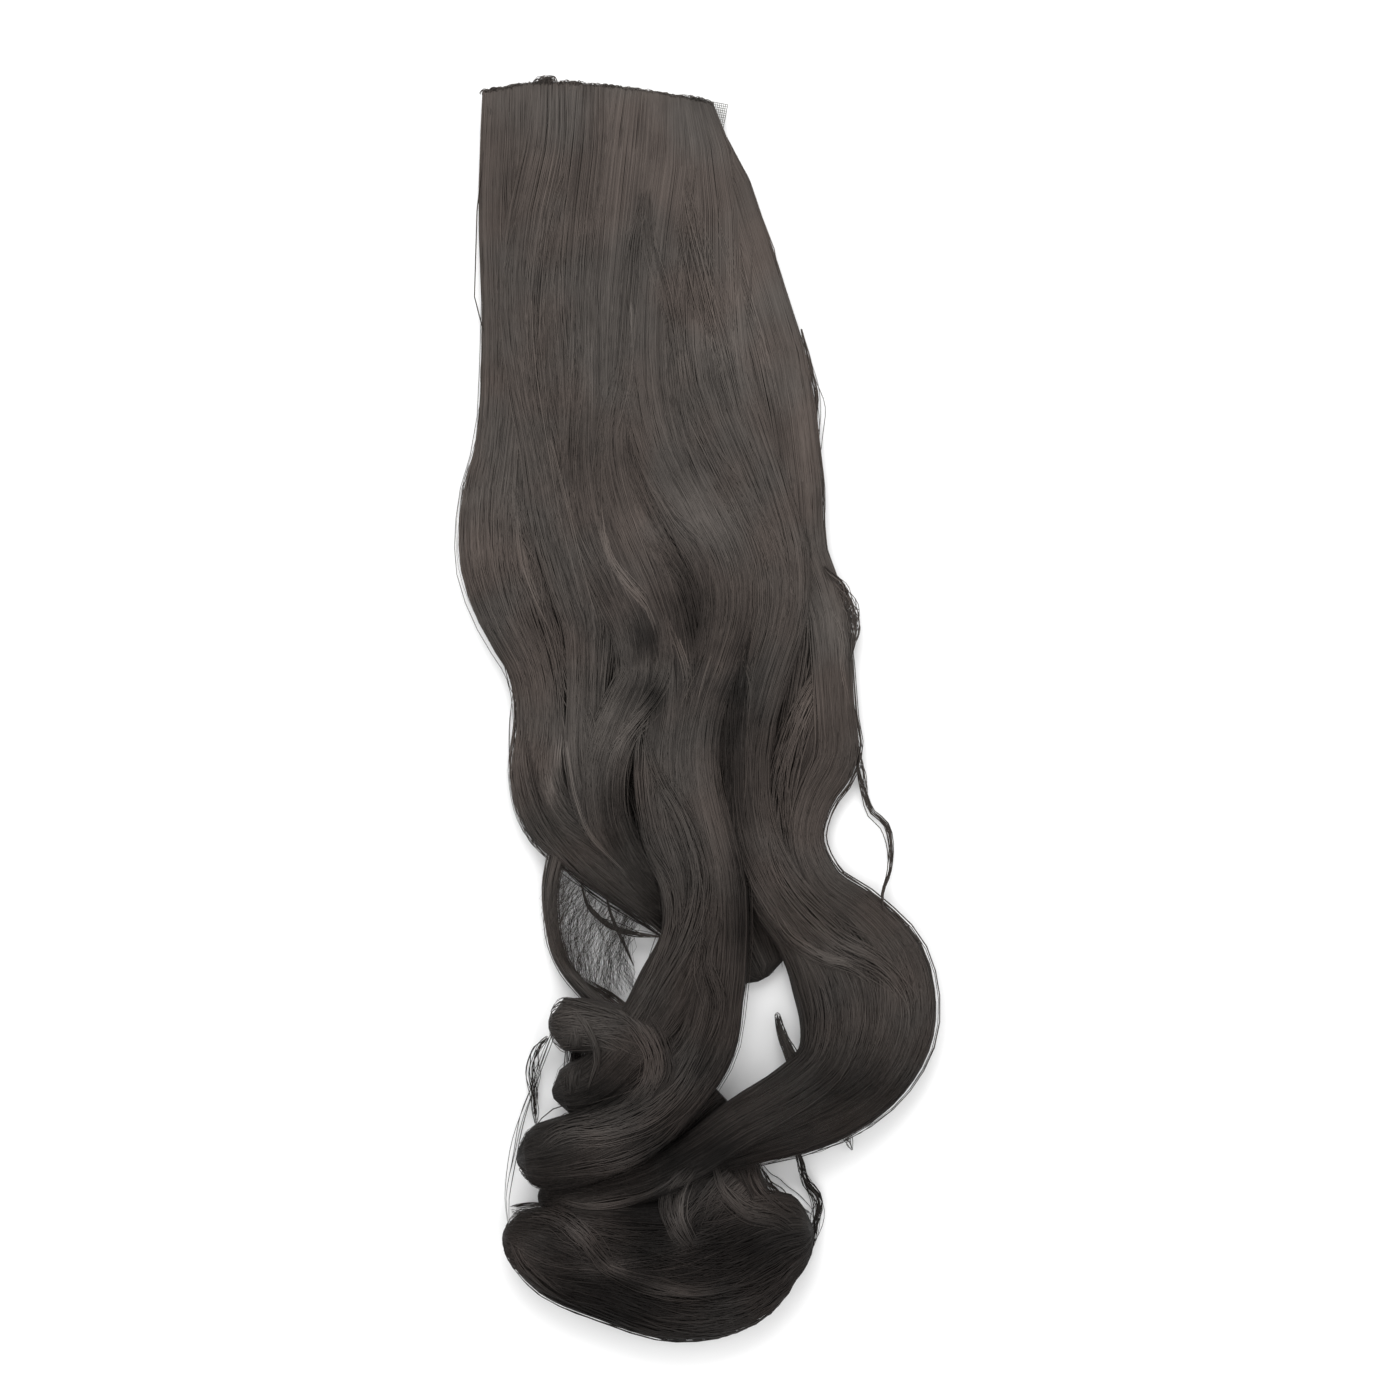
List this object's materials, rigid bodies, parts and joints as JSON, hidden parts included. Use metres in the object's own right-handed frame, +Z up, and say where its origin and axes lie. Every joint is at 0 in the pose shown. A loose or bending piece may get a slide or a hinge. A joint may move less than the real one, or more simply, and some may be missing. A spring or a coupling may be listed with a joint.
{
  "type": "clip-in hairpiece",
  "caption": "Long waved clip-in hairpiece laid flat: hair falls from a stitched weft band into loose curls, over a lace tape with snap clips.",
  "frame": {"origin": "on the surface that the hairpiece lies on, under the middle of its bounding box", "axes": "+Y along the fall of hair towards the band, +X to the right of the laid-out hair, +Z up from the surface"},
  "size_m": [0.239, 0.6286, 0.0369],
  "materials": {
    "hair": "satin",
    "band": "matte",
    "lace": "matte",
    "clip": "satin"
  },
  "bodies": {
    "root": {"hair": "hair", "weft_band": "band", "lace_tape": "lace", "clip_left": "clip", "clip_right": "clip"}
  },
  "joints": []
}
